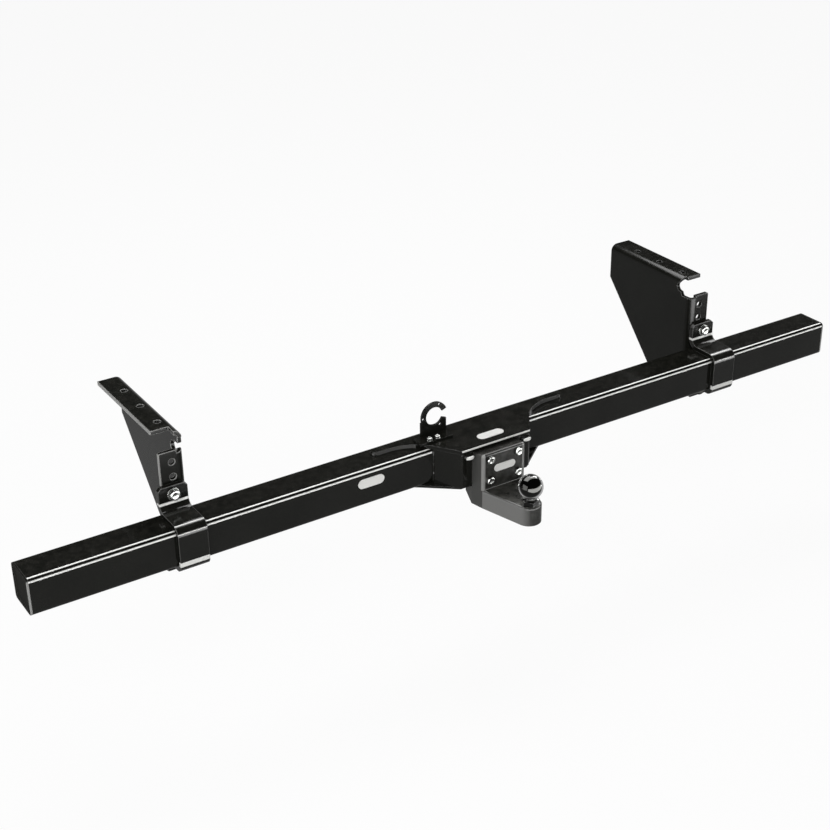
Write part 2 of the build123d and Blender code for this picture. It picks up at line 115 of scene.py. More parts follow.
# %% Helpers: add a node, link two sockets, calculate, blend
def add(tree, kind, inputs=None, **settings):
    """Adds a node. Settings are its properties; inputs gives socket values by name or number."""
    made = tree.nodes.new(kind)
    for name, value in settings.items():
        setattr(made, name, value)
    for name, value in (inputs or {}).items():
        made.inputs[name].default_value = value
    return made


def wire(tree, *pairs):
    """Links each (output socket, input socket) pair."""
    for source, target in pairs:
        tree.links.new(source, target)


def give(tree, socket, operand):
    """Feeds an input socket with a number or with an output socket."""
    if isinstance(operand, (int, float)):
        socket.default_value = operand
    else:
        wire(tree, (operand, socket))


def calc(tree, operation, first, second=0.0, clamp=False):
    """A Math node: each operand is a number or an output socket. Returns its output socket."""
    made = add(tree, "ShaderNodeMath", operation=operation, use_clamp=clamp)
    give(tree, made.inputs[0], first)
    give(tree, made.inputs[1], second)
    return made.outputs[0]


def blend_values(tree, share, low, high):
    """low where share is 0, high where it is 1."""
    made = add(tree, "ShaderNodeMix", data_type="FLOAT")
    for name, operand in (("Factor", share), ("A", low), ("B", high)):
        give(tree, made.inputs[name], operand)
    return made.outputs["Result"]


print("node helpers ready")

# %% [markdown]
# ## The studio
# The picture is a cut-out on pure white, so floor and backdrop have to come out white without more light
# falling on the steel. The floor is a wide sheet that is partly a plain matt surface, which keeps a faint
# shadow, and partly glows, at strength 1 for the rays that come from the camera. It lies well below the
# bar, as under a part hung for a catalogue picture. Black gloss paint shows little but what it reflects,
# so reflections see a dimmer floor, and a sky whose glow fades with height to a dark ceiling. That keeps
# the faces of the bar black against the white ground.

# %% Floor
FLOOR_Z = -0.385
FLOOR_REACH = 40.0
GLOWING_SHARE = 0.91
FLOOR_COLOR = (0.9, 0.9, 0.9, 1)
MIRRORED_GLOW = 0.42


def seen_directly_or_mirrored(tree):
    """Two shares: 1 for rays from the camera, and 1 for glossy and transmitted rays. Both are 0 for the
    light that falls on things."""
    path = add(tree, "ShaderNodeLightPath")
    mirrored = calc(tree, "MAXIMUM", path.outputs["Is Glossy Ray"], path.outputs["Is Transmission Ray"])
    return path.outputs["Is Camera Ray"], mirrored


floor_mesh = bpy.data.meshes.new("studio_floor")
corners = [(-FLOOR_REACH, -FLOOR_REACH), (FLOOR_REACH, -FLOOR_REACH),
           (FLOOR_REACH, FLOOR_REACH), (-FLOOR_REACH, FLOOR_REACH)]
floor_mesh.from_pydata([(x, y, FLOOR_Z) for x, y in corners], [], [(0, 1, 2, 3)])
studio_floor = bpy.data.objects.new("studio_floor", floor_mesh)
scene.collection.objects.link(studio_floor)
studio_floor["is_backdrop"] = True

floor_finish = bpy.data.materials.new("studio_floor")
floor_finish.use_nodes = True
tree = floor_finish.node_tree
tree.nodes.clear()
matt = add(tree, "ShaderNodeBsdfDiffuse", {"Color": FLOOR_COLOR})
glow = add(tree, "ShaderNodeEmission")
mixed = add(tree, "ShaderNodeMixShader")
surface = add(tree, "ShaderNodeOutputMaterial")
by_camera, by_mirror = seen_directly_or_mirrored(tree)
share = calc(tree, "MULTIPLY", calc(tree, "MAXIMUM", by_camera, by_mirror), GLOWING_SHARE)
wire(tree, (share, mixed.inputs[0]), (matt.outputs[0], mixed.inputs[1]),
     (blend_values(tree, by_mirror, 1.0, MIRRORED_GLOW), glow.inputs["Strength"]),
     (glow.outputs[0], mixed.inputs[2]), (mixed.outputs[0], surface.inputs["Surface"]))
floor_mesh.materials.append(floor_finish)
print("floor at", FLOOR_Z, "m")

# %% Backdrop: a sky that is white to the camera and fades to a dark ceiling in reflections
WHITE = (1, 1, 1, 1)
SKY_LEVEL = 0.42
CEILING_GLOW = 0.05
GLOW_FADES_FROM, GLOW_FADES_TO = 0.04, 0.24

world = bpy.data.worlds.new("studio")
scene.world = world
world.use_nodes = True
tree = world.node_tree
tree.nodes.clear()
backdrop = add(tree, "ShaderNodeBackground", {"Color": WHITE})
surroundings = add(tree, "ShaderNodeOutputWorld")
direction = add(tree, "ShaderNodeTexCoord")
parts = add(tree, "ShaderNodeSeparateXYZ")
fade = add(tree, "ShaderNodeMapRange", {
    "From Min": GLOW_FADES_FROM, "From Max": GLOW_FADES_TO, "To Min": MIRRORED_GLOW, "To Max": CEILING_GLOW})
by_camera, by_mirror = seen_directly_or_mirrored(tree)
wire(tree, (direction.outputs["Generated"], parts.inputs[0]), (parts.outputs["Z"], fade.inputs["Value"]))
level = blend_values(tree, by_mirror, SKY_LEVEL, fade.outputs["Result"])
level = blend_values(tree, by_camera, level, 1.0)
wire(tree, (level, backdrop.inputs["Strength"]), (backdrop.outputs[0], surroundings.inputs["Surface"]))
print("sky level", SKY_LEVEL)

# %% [markdown]
# ## The lamps and the cards
# A bright card seen in a rounded edge becomes a line. The upper edge along the tube turns from facing up
# to facing forward, so it mirrors an arc of the studio, from behind the bar, over the top, to below level
# in front. Two long cards stand in that arc, one high behind and one just below level in front, with the
# dark ceiling between them. They stay gentle, because strong ones would turn whole plates white in other
# views, and light lines painted into the coat as highlights, further down, do the rest. A third, small
# card gives what faces left a soft sheen. Only reflections see the cards, as a photographer's cards add
# little light of their own. The light itself comes from two soft lamps that the paint does not mirror, one
# from the left and front, one from above and behind.

# %% Two lamps and three cards
BAR_MIDDLE = (0.0, 0.2, 0.0)


def soft_lamp(name, at, aim, width, height, watts, mirrored):
    """A rectangle of light at one point that faces another; its long side stays level. It is seen either
    in reflections only, or by everything but reflections."""
    lamp = bpy.data.lights.new(name, "AREA")
    lamp.shape = "RECTANGLE"
    lamp.size, lamp.size_y = width, height
    lamp.energy = watts
    holder = bpy.data.objects.new(name, lamp)
    scene.collection.objects.link(holder)
    holder.location = at
    holder.rotation_euler = (Vector(aim) - Vector(at)).to_track_quat("-Z", "Y").to_euler()
    holder.visible_camera = False
    holder.visible_glossy = mirrored
    holder.visible_diffuse = not mirrored


def card(name, at, aim, width, height, brightness):
    """A card that only reflections see. Its watts grow with its area, so its brightness is as given."""
    soft_lamp(name, at, aim, width, height, brightness * math.pi * width * height, mirrored=True)


def around_bar(angle, distance, x):
    """A place at an angle about the bar: 0 is level behind it, 90 degrees above, 180 level in front."""
    return x, BAR_MIDDLE[1] + distance * math.cos(angle), BAR_MIDDLE[2] + distance * math.sin(angle)


LONG_CARD_X, LONG_CARD_LENGTH = 1.2, 4.8
# For each long card: name, angle of its middle and spread in degrees, distance in metres, brightness
LONG_CARDS = (("rear_card", 66, 42, 2.2, 9.0), ("front_card", 187, 28, 1.0, 12.0))
for name, middle, spread, distance, brightness in LONG_CARDS:
    tall = 2 * distance * math.tan(math.radians(spread / 2))
    card(name, around_bar(math.radians(middle), distance, LONG_CARD_X), (LONG_CARD_X, *BAR_MIDDLE[1:]),
         LONG_CARD_LENGTH, tall, brightness)
card("left_card", at=(-1.3, 0.0, 0.2), aim=(0, 0, 0), width=1.2, height=0.9, brightness=4.0)
soft_lamp("left_key", at=(-2.6, -1.9, 2.1), aim=BAR_MIDDLE, width=2.0, height=2.0, watts=68, mirrored=False)
soft_lamp("rear_fill", at=(0.6, 1.8, 2.8), aim=BAR_MIDDLE, width=2.6, height=1.4, watts=40, mirrored=False)

# %% [markdown]
# ## Surfaces from arrays
# Each new piece is a stack of closed rings held in one numpy array, ring by point by xyz. Neighbouring
# rings are joined by quads, and each end is closed by a fan. Bolts, ball, beads, plugs and plates differ
# only in how their rings are worked out. Blender's lathe and curve tools could make some of them, but a
# formula gives hexagon, thread and chamfer in one closed skin. All places are in millimetres from the
# middle of the tube, as on a drawing of the bar. The origin of the frame is the middle of the ball.

# %% Skin a stack of rings
MM = 0.001
TUBE_MIDDLE = np.array((0.0, 202.0, 4.0))


def volume_sum(points, faces):
    """Six times the signed volume between the origin and the faces, each cut into triangles from its
    first corner: the sum of a . (b x c). Over a closed skin it is positive if the faces point outwards."""
    corner = points[faces]
    products = (np.cross(corner[:, k], corner[:, k + 1]) for k in range(1, faces.shape[1] - 1))
    return sum(np.einsum("ij,ij->i", corner[:, 0], product).sum() for product in products)


def skin(rings, loop=False):
    """Points and faces of one closed skin. Quad (i, j) joins points j and j + 1 of ring i to the same
    two of ring i + 1. With loop the last ring joins the first; otherwise each end gets a fan. A skin
    that comes out inside out has its faces reversed."""
    count, around = rings.shape[:2]
    points = rings.reshape(-1, 3)
    ring = np.arange(count if loop else count - 1)[:, None]
    here = np.arange(around)[None, :]
    after = (here + 1) % around
    upper = (ring + 1) % count
    quads = np.stack((ring * around + here, ring * around + after, upper * around + after,
                      upper * around + here), axis=-1).reshape(-1, 4)
    faces = [quads]
    if not loop:
        low, high = len(points), len(points) + 1
        step, next_step = here[0], after[0]
        last = (count - 1) * around
        faces += [np.stack((next_step, step, np.full(around, low)), axis=-1),
                  np.stack((last + step, last + next_step, np.full(around, high)), axis=-1)]
        points = np.vstack((points, rings[0].mean(axis=0), rings[-1].mean(axis=0)))
    if sum(volume_sum(points, part) for part in faces) < 0:
        faces = [part[:, ::-1] for part in faces]
    return points, faces


print("tube's middle, in mm from the ball's:", TUBE_MIDDLE)

# %% A piece of several skins
pieces = {}
piece_slots = {}


def make_piece(name, slot, skins, smooth_below=32.0):
    """Makes one object out of several skins and keeps it in pieces, with its material slot. An edge is
    sharp where its two faces turn by smooth_below degrees or more."""
    points = np.vstack([part[0] for part in skins])
    starts = np.cumsum([0] + [len(part[0]) for part in skins])
    blocks = [block + start for start, part in zip(starts, skins) for block in part[1]]
    faces = [row for block in blocks for row in block.tolist()]
    mesh = bpy.data.meshes.new(name)
    mesh.from_pydata(((points + TUBE_MIDDLE) * MM).tolist(), [], faces)
    mesh.shade_smooth()
    mesh.set_sharp_from_angle(angle=math.radians(smooth_below))
    piece = bpy.data.objects.new(name, mesh)
    scene.collection.objects.link(piece)
    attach(piece, "root")
    pieces[name] = piece
    piece_slots[name] = slot
    print(name, len(faces), "faces")


print("pieces so far:", len(pieces))

# %% [markdown]
# ## Turned pieces
# Ball, bolts and studs start as round bar in a lathe. A profile of radius against height is spun about an
# axis; where a row belongs to a hexagon the radius is cut down to its flats, and where it belongs to a
# thread the radius follows a triangle wave that climbs one pitch per turn.

# %% The lathe
AROUND = 48
TURN = np.arange(AROUND) / AROUND * 2 * math.pi
SIXTH = math.pi / 3
THREAD_DEPTH = 0.6
SLOPE_ROWS = 7
RIGHT, BACK, UP = (1.0, 0.0, 0.0), (0.0, 1.0, 0.0), (0.0, 0.0, 1.0)
FRONT, DOWN = (0.0, -1.0, 0.0), (0.0, 0.0, -1.0)


def spun(profile, at, axis, twist=0.0):
    """Rings of a turned blank. Row i of the profile is radius R, height h, width across flats F and
    pitch P. Point (i, j) is at + h * axis + r * (cos(a_j) u + sin(a_j) v), where r is R, at most
    (F / 2) / cos(angle from the middle of the nearest flat), less THREAD_DEPTH * P times the
    triangle wave |2 frac(h / P - a / 2 pi) - 1|. A row with F or P of 0 has no flats or no thread. The
    axis is any but RIGHT."""
    radius, height, flats, pitch = (np.array(profile, float)[:, k:k + 1] for k in range(4))
    from_flat = np.mod(TURN + SIXTH / 2, SIXTH) - SIXTH / 2
    hexagon = np.where(flats > 0, flats, np.inf) / 2 / np.cos(from_flat)
    phase = np.mod(height / np.where(pitch > 0, pitch, 1) - TURN / (2 * math.pi), 1)
    groove = THREAD_DEPTH * pitch * np.abs(2 * phase - 1)
    reach = np.minimum(radius, hexagon) - groove
    axis = np.array(axis, float)
    side = np.cross(axis, RIGHT)
    side /= np.linalg.norm(side)
    other = np.cross(axis, side)
    angle = TURN + twist
    spokes = np.cos(angle)[:, None] * side + np.sin(angle)[:, None] * other
    return np.array(at) + height[:, :, None] * axis + reach[:, :, None] * spokes


def thread_rows(radius, start, end, pitch, per_turn=8):
    """Profile rows of a thread from one height to another, eight rows to the pitch."""
    heights = np.linspace(start, end, max(2, round(abs(end - start) / pitch * per_turn)))
    return [(radius, height, 0, pitch) for height in heights]


def corner_radius(flats):
    """Half the width across the corners of a hexagon."""
    return flats / 2 / math.cos(SIXTH / 2)


def cone_rows(flats, face, top, slope):
    """Profile rows of a cone that turns off the corners of a hexagon, from its round face outwards."""
    reaches = np.linspace(face, corner_radius(flats), SLOPE_ROWS)
    return [(reach, top - (reach - face) * slope, flats, 0) for reach in reaches]


print("lathe ready,", AROUND, "points around")

# %% [markdown]
# ## The tow ball
# The ball, its neck, the hexagon collar and the threaded shank are one forging, turned and polished. The
# top is faced off flat. The foot of the neck is hollowed, so that the coupling head can tilt. Built as one
# profile it has no seams where the parts meet.

# %% Ball and neck, as rows of the profile
BALL_RADIUS, TOP_FLAT_RADIUS = 25.0, 7.0
BALL_ENDS_AT = math.radians(149.5)
BALL_ROWS = 44
NECK_RADIUS, NECK_END = 12.4, -21.9
HOLLOW_OUT, HOLLOW_DOWN = 3.0, 3.6

polar = np.linspace(math.asin(TOP_FLAT_RADIUS / BALL_RADIUS), BALL_ENDS_AT, BALL_ROWS)
ball_rows = [(TOP_FLAT_RADIUS / 2, BALL_RADIUS * math.cos(polar[0]), 0, 0)]
ball_rows += [(BALL_RADIUS * math.sin(p), BALL_RADIUS * math.cos(p), 0, 0) for p in polar]
ball_rows += [(NECK_RADIUS + HOLLOW_OUT * (1 - math.cos(t)), NECK_END - HOLLOW_DOWN * math.sin(t), 0, 0)
              for t in np.linspace(0, math.pi / 2, SLOPE_ROWS)[1:]]
print("rows of ball and neck:", len(ball_rows))

# %% Collar and shank, and the ball as one piece
COLLAR_TOP, COLLAR_FOOT, COLLAR_FLATS = -26.0, -36.0, 33.0
COLLAR_FACE = COLLAR_FLATS * 0.475
COLLAR_SLOPE = 0.5
COLLAR_BEVEL_IN, COLLAR_BEVEL_UP = 0.8, 1.2
SHANK_RADIUS, SHANK_END, SHANK_PITCH = 9.0, -72.0, 1.5
PLAIN_SHANK = 8.0
TIP_LENGTH = 1.2
SHANK_TIP_IN = 1.1
BALL_TWIST = math.radians(12)

collar_corner = corner_radius(COLLAR_FLATS)
ball_rows += [(COLLAR_FACE, COLLAR_TOP, 0, 0)]
ball_rows += cone_rows(COLLAR_FLATS, COLLAR_FACE, COLLAR_TOP, COLLAR_SLOPE)
ball_rows += [(collar_corner, COLLAR_FOOT + COLLAR_BEVEL_UP, COLLAR_FLATS, 0),
              (collar_corner - COLLAR_BEVEL_IN, COLLAR_FOOT, COLLAR_FLATS, 0),
              (SHANK_RADIUS, COLLAR_FOOT, 0, 0), (SHANK_RADIUS, COLLAR_FOOT - PLAIN_SHANK, 0, 0)]
ball_rows += thread_rows(SHANK_RADIUS, COLLAR_FOOT - PLAIN_SHANK, SHANK_END + TIP_LENGTH, SHANK_PITCH)
ball_rows += [(SHANK_RADIUS - SHANK_TIP_IN, SHANK_END, 0, 0)]
make_piece("ball_turned", "ball_steel", [skin(spun(ball_rows, -TUBE_MIDDLE, UP, BALL_TWIST))])
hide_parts("tow_ball")

# %% [markdown]
# ## The bolts
# Four large bolts clamp the straps, four hold the tongue and two small ones the socket bracket. The head
# of a real bolt is dished on top, its corners are turned off to a cone of 30 degrees, and a round face
# under it meets the washer. Nobody lines up the heads when tightening, so each one is turned by its own
# angle.

# %% The profile of a hexagon bolt
HEAD_FLAT = 0.45
HEAD_CONE = math.tan(math.radians(30))
DISH_FLOOR, DISH_RIM, DISH_DEPTH = 0.55, 0.62, 0.25
FACE_REACH, FACE_TOP, FACE_FOOT = 0.48, 0.5, 0.05
HEAD_BEVEL = 0.4
TIP_IN = 0.8


def bolt_rows(flats, head, shank, end, pitch, threaded_from):
    """A bolt with height 0 at its seat, a head of that height above it and a shank of that radius down to
    end. HEAD_FLAT and FACE_REACH are shares of the width across flats, DISH_FLOOR and DISH_RIM shares of
    the flat top, and TIP_IN is a share of the pitch."""
    corner = corner_radius(flats)
    flat_top, face = flats * HEAD_FLAT, flats * FACE_REACH
    rows = [(flat_top * DISH_FLOOR, head - DISH_DEPTH, 0, 0), (flat_top * DISH_RIM, head, 0, 0)]
    rows += cone_rows(flats, flat_top, head, HEAD_CONE)
    rows += [(corner, FACE_TOP + HEAD_BEVEL, flats, 0), (corner - HEAD_BEVEL, FACE_TOP, flats, 0)]
    rows += [(face, FACE_TOP, 0, 0), (face, FACE_FOOT, 0, 0)]
    rows += [(shank, FACE_FOOT, 0, 0), (shank, threaded_from, 0, 0)]
    rows += thread_rows(shank, threaded_from, end + TIP_LENGTH, pitch)
    rows += [(shank - THREAD_DEPTH * pitch, end + TIP_LENGTH / 2, 0, 0), (shank - TIP_IN * pitch, end, 0, 0)]
    return rows


print("cone on the heads:", round(math.degrees(math.atan(HEAD_CONE))), "degrees")

# %% Bolt sets
TWISTS = np.radians((14.0, 41.0, 3.0, 27.0))


def bolt_set(name, node, rows, places, axis):
    """The same bolt at several places, each head turned by its own angle."""
    skins = [skin(spun(rows, place, axis, twist)) for place, twist in zip(places, TWISTS)]
    make_piece(name, "zinc", skins)
    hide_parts(node)


STRAP_X, STRAP_BOLTS_Z, STRAP_SEAT_Y = 633.0, (-68.5, 76.5), 25.0
strap_bolt = bolt_rows(flats=19, head=8, shank=6, end=-33.4, pitch=1.75, threaded_from=-16)
strap_places = [(side * STRAP_X, STRAP_SEAT_Y, z) for side in (-1, 1) for z in STRAP_BOLTS_Z]
bolt_set("strap_bolt_set", "strap_bolts", strap_bolt, strap_places, FRONT)

TONGUE_BOLT_X, TONGUE_BOLTS_Z, FACE_Y = 33.0, (-21.0, 24.0), -114.0
tongue_bolt = bolt_rows(flats=16, head=6.5, shank=5, end=-48.2, pitch=1.5, threaded_from=-32)
tongue_places = [(x, FACE_Y, z) for x in (-TONGUE_BOLT_X, TONGUE_BOLT_X) for z in TONGUE_BOLTS_Z]
bolt_set("tongue_bolt_set", "tongue_bolts", tongue_bolt, tongue_places, FRONT)

SOCKET_BOLTS_X, SOCKET_BOLT_Y, SOCKET_SEAT_Z = (-112.0, -94.0), -21.0, 51.0
socket_bolt = bolt_rows(flats=10, head=4.5, shank=3, end=-12.5, pitch=1.0, threaded_from=-4)
socket_places = [(x, SOCKET_BOLT_Y, SOCKET_SEAT_Z) for x in SOCKET_BOLTS_X]
bolt_set("socket_bolt_set", "socket_bolts", socket_bolt, socket_places, UP)

# %% [markdown]
# ## Plugs and plates
# The ends of the tube are closed by pressed-in plugs: a rim that lies flush with the wall and a field that
# sits a little lower. The three blank plates are pills stamped from sheet, with a fine raised border. Both
# are an outline that shrinks while its height changes, so one function makes them.

# %% A pressed panel: an outline that shrinks from ring to ring
SMALLEST_CORNER = 0.4


def square_outline(half, corner, inset, each=12):
    """A square with round corners, drawn inwards by inset: corner centres stay, the radius shrinks.
    Past the centre of the corner the square itself shrinks."""
    radius = max(corner - inset, SMALLEST_CORNER)
    reach = half - inset - radius
    quarter = np.linspace(0, math.pi / 2, each)
    turn = np.concatenate([quarter + k * math.pi / 2 for k in range(4)])
    sign_a = np.repeat((1, -1, -1, 1), each) * reach
    sign_b = np.repeat((1, 1, -1, -1), each) * reach
    return np.stack((sign_a + radius * np.cos(turn), sign_b + radius * np.sin(turn)), axis=-1)


def pill_outline(length, height, inset, each=20):
    """Two half circles joined by straight sides, drawn inwards by inset."""
    half = np.linspace(-math.pi / 2, math.pi / 2, each)
    turn = np.concatenate((half, half + math.pi))
    middle = np.repeat((1, -1), each) * (length - height) / 2
    radius = height / 2 - inset
    return np.stack((middle + radius * np.cos(turn), radius * np.sin(turn)), axis=-1)


def pressed(outline, levels, at, across, along, out):
    """Rings of a pressed panel: level k is (inset, height), and its point is
    at + a * across + b * along + height * out for each (a, b) of the outline drawn in by the inset."""
    across, along, out = (np.array(v, float) for v in (across, along, out))
    rings = []
    for inset, height in levels:
        flat = outline(inset)
        rings.append(np.array(at) + flat[:, :1] * across + flat[:, 1:] * along + height * out)
    return np.array(rings)


print("smallest corner of a panel:", SMALLEST_CORNER, "mm")

# %% The plugs in the ends of the tube
HALF_TUBE, TUBE_CORNER, BAR_END, CAP_THICK = 37.5, 8.0, 940.0, 4.0
# Each level of a panel is how far the outline is drawn in and how high it lies
PLUG_LEVELS = ((0.0, 0.0), (0.0, 2.9), (0.25, 3.6), (0.9, 4.0), (4.2, 4.0), (5.0, 3.7), (6.0, 2.2),
               (7.0, 1.9), (20.0, 1.9), (36.0, 1.9))
for side, name in ((-1, "left"), (1, "right")):
    rings = pressed(lambda inset: square_outline(HALF_TUBE, TUBE_CORNER, inset), PLUG_LEVELS,
                    (side * (BAR_END - CAP_THICK), 0, 0), BACK, UP, (side, 0, 0))
    make_piece("end_plug_" + name, "black_paint", [skin(rings)])
    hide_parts("end_cap_" + name)

# %% The three blank plates
NOSE_THICK = 8.0
LABEL_FIELD = 0.75
LABEL_LEVELS = ((0.0, 0.0), (0.0, 0.65), (0.2, 0.92), (0.5, 1.0), (1.3, 1.0), (1.6, 0.82),
                (2.0, LABEL_FIELD))
INNERMOST_RADIUS = 0.3
ON_FRONT, ON_TOP = (RIGHT, UP, FRONT), (RIGHT, BACK, UP)
# For each plate: its middle, its length and height, and the directions it is laid along
LABELS = {
    "bar_label": ((-256.0, -HALF_TUBE, 11.0), 58.0, 20.0, ON_FRONT),
    "nose_label": ((5.0, -60.0, HALF_TUBE + NOSE_THICK), 60.0, 21.0, ON_TOP),
    "tongue_label": ((2.0, FACE_Y, 1.5), 50.0, 16.0, ON_FRONT),
}
for name, (at, length, height, directions) in LABELS.items():
    levels = LABEL_LEVELS + ((height / 2 - INNERMOST_RADIUS, LABEL_FIELD),)
    rings = pressed(lambda inset: pill_outline(length, height, inset), levels, at, *directions)
    make_piece(name, "label_plate", [skin(rings)])
    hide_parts(name + "_plate")

# %% [markdown]
# ## Weld beads
# The nose is welded to the tube round the ends of its four wings and down its two sides, and the chain
# loops are welded on at their four roots. A hand-laid bead is a chain of overlapping puddles, so its
# section swells and steps along the run. The paint goes over it. Each bead is a ring carried along a path,
# fed with seeded noise so that it comes out the same each time.

# %% A bead along a path
BEAD_STEP = 0.9
BEAD_AROUND = 14
BEAD_SMOOTH_BELOW = 60
PUDDLE_PITCH, PUDDLE_STEP, PUDDLE_LEAN = 0.62, 0.16, 0.3
SWELLING, SWELLS_EVERY = 0.07, 6.0
END_LENGTH, THINNEST_END = 1.4, 0.02
random_source = np.random.default_rng(20)


def resampled(path, step, fewest=4):
    """Arc lengths along a path, about a step apart, and the points there, by linear interpolation."""
    path = np.array(path, float)
    lengths = np.concatenate(([0], np.cumsum(np.linalg.norm(np.diff(path, axis=0), axis=1))))
    stations = np.linspace(0, lengths[-1], max(fewest, int(lengths[-1] / step)))
    return stations, np.stack([np.interp(stations, lengths, path[:, k]) for k in range(3)], axis=-1)


def bead(path, radius, up, closed=False):
    """Rings of a weld bead. At arc length s and angle a the radius is
    R * ends(s) * wander(s) * (1 + PUDDLE_STEP * (1 - w) ** 2), where w is the place within one puddle,
    frac(s / (PUDDLE_PITCH * R) + PUDDLE_LEAN * cos a), wander is slow random swelling and ends rounds
    off the start and the finish over END_LENGTH radii."""
    stations, line = resampled(path, BEAD_STEP)
    forward = np.gradient(line, axis=0)
    forward /= np.linalg.norm(forward, axis=1)[:, None]
    side = np.cross(forward, np.array(up, float))
    side /= np.linalg.norm(side, axis=1)[:, None]
    over = np.cross(side, forward)
    turn = np.arange(BEAD_AROUND) / BEAD_AROUND * 2 * math.pi
    knots = np.arange(0, stations[-1] + 2 * SWELLS_EVERY, SWELLS_EVERY)
    wander = np.interp(stations, knots, 1 + SWELLING * random_source.standard_normal(len(knots)))
    ends = 1.0
    if not closed:
        nearest = np.minimum(stations, stations[-1] - stations) / (END_LENGTH * radius)
        ends = np.sqrt(np.clip(1 - (1 - np.clip(nearest, THINNEST_END, 1)) ** 2, 0, 1))
    place = np.mod(stations[:, None] / (radius * PUDDLE_PITCH) + PUDDLE_LEAN * np.cos(turn), 1)
    reach = radius * (wander * ends)[:, None] * (1 + PUDDLE_STEP * (1 - place) ** 2)
    spokes = np.cos(turn)[:, None] * side[:, None, :] + np.sin(turn)[:, None] * over[:, None, :]
    return line[:, None, :] + reach[:, :, None] * spokes


print("bead step", BEAD_STEP, "mm")

# %% Beads round the wings of the nose plates
NOSE_REAR, WING_END, WING_ROUND = 17.0, 225.0, 6.0
UPPER_WING_FRONT, LOWER_WING_FRONT = 1.0, -7.7
WING_RETURN = 60.0
REAR_STITCHES = ((-110.0, -40.0), (40.0, 110.0))
BEAD_RADIUS = 2.6
BEAD_LIFT = 1.0
CORNER_POINTS = 7


def wing_edge(side, front, z):
    """The run round the end of one wing, from its front corner to its rear edge, and a little along it."""
    quarter = np.linspace(0, math.pi / 2, CORNER_POINTS)
    front_turn = np.stack((WING_END - WING_ROUND + WING_ROUND * np.sin(quarter),
                           front + WING_ROUND - WING_ROUND * np.cos(quarter)), axis=-1)
    rear_turn = np.stack((WING_END - WING_ROUND + WING_ROUND * np.cos(quarter),
                          NOSE_REAR - WING_ROUND + WING_ROUND * np.sin(quarter)), axis=-1)
    plan = np.vstack((front_turn, rear_turn, ((WING_END - WING_RETURN, NOSE_REAR),)))
    return np.column_stack((side * plan[:, 0], plan[:, 1], np.full(len(plan), z)))


NOSE_RUNS = (("upper_nose_welds", UPPER_WING_FRONT, HALF_TUBE + BEAD_LIFT, UP),
             ("lower_nose_welds", LOWER_WING_FRONT, -HALF_TUBE - BEAD_LIFT, DOWN))
for name, front, z, up in NOSE_RUNS:
    runs = [wing_edge(side, front, z) for side in (-1, 1)]
    runs += [((start, NOSE_REAR, z), (end, NOSE_REAR, z)) for start, end in REAR_STITCHES]
    beads = [skin(bead(run, BEAD_RADIUS, up)) for run in runs]
    make_piece(name, "black_paint", beads, BEAD_SMOOTH_BELOW)

# %% Beads down the sides of the nose and round the roots of the chain loops
SIDE_BEAD_RADIUS, SIDE_BEAD_HALF = 2.4, HALF_TUBE - 3
NOSE_PLATE_FRONT = -85.5
LOOP_X, LOOP_Z, LOOP_HALF, ROD_RADIUS = 68.0, 31.5, 8.0, 3.5
ROOT_BEAD_RADIUS, ROOT_BEAD_OUT, ROOT_BEAD_FORWARD, ROOT_BEAD_POINTS = 1.2, 0.3, 0.2, 40

nose_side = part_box("nose_front_plate")[1][0] / MM - TUBE_MIDDLE[0]
side_beads = []
for x in (-nose_side, nose_side):
    run = ((x, -HALF_TUBE, -SIDE_BEAD_HALF), (x, -HALF_TUBE, SIDE_BEAD_HALF))
    side_beads.append(skin(bead(run, SIDE_BEAD_RADIUS, FRONT)))
make_piece("nose_side_welds", "black_paint", side_beads, BEAD_SMOOTH_BELOW)

around_rod = np.linspace(0, 2 * math.pi, ROOT_BEAD_POINTS)
root_beads = []
for middle in (-LOOP_X - LOOP_HALF, -LOOP_X + LOOP_HALF, LOOP_X - LOOP_HALF, LOOP_X + LOOP_HALF):
    circle = np.column_stack((middle + (ROD_RADIUS + ROOT_BEAD_OUT) * np.cos(around_rod),
                              np.full(len(around_rod), NOSE_PLATE_FRONT - ROOT_BEAD_FORWARD),
                              LOOP_Z + (ROD_RADIUS + ROOT_BEAD_OUT) * np.sin(around_rod)))
    rings = bead(circle, ROOT_BEAD_RADIUS, FRONT, closed=True)[:-1]
    root_beads.append(skin(rings, loop=True))
make_piece("loop_welds", "black_paint", root_beads, BEAD_SMOOTH_BELOW)

# %% [markdown]
# ## Effects that several finishes share
# Four effects come back in several finishes, so each is a node group with named inputs. The first rounds
# sharp edges for the light, because no folded plate has a knife edge, and marks them. The second is the
# skin of sprayed or cast surfaces. The third is dust that settles on what faces up. The fourth is the
# fine streaking that plating and polishing leave.

# %% Rounded edges, and the skin of a sprayed coat
def new_group(name, inputs, outputs):
    """An empty group with float inputs and the given outputs; returns the tree and its two ends."""
    group = bpy.data.node_groups.new(name, "ShaderNodeTree")
    for label, value in inputs.items():
        socket = group.interface.new_socket(label, in_out="INPUT", socket_type="NodeSocketFloat")
        socket.default_value = value
    for label, kind in outputs.items():
        group.interface.new_socket(label, in_out="OUTPUT", socket_type="NodeSocket" + kind)
    return group, group.nodes.new("NodeGroupInput").outputs, group.nodes.new("NodeGroupOutput").inputs


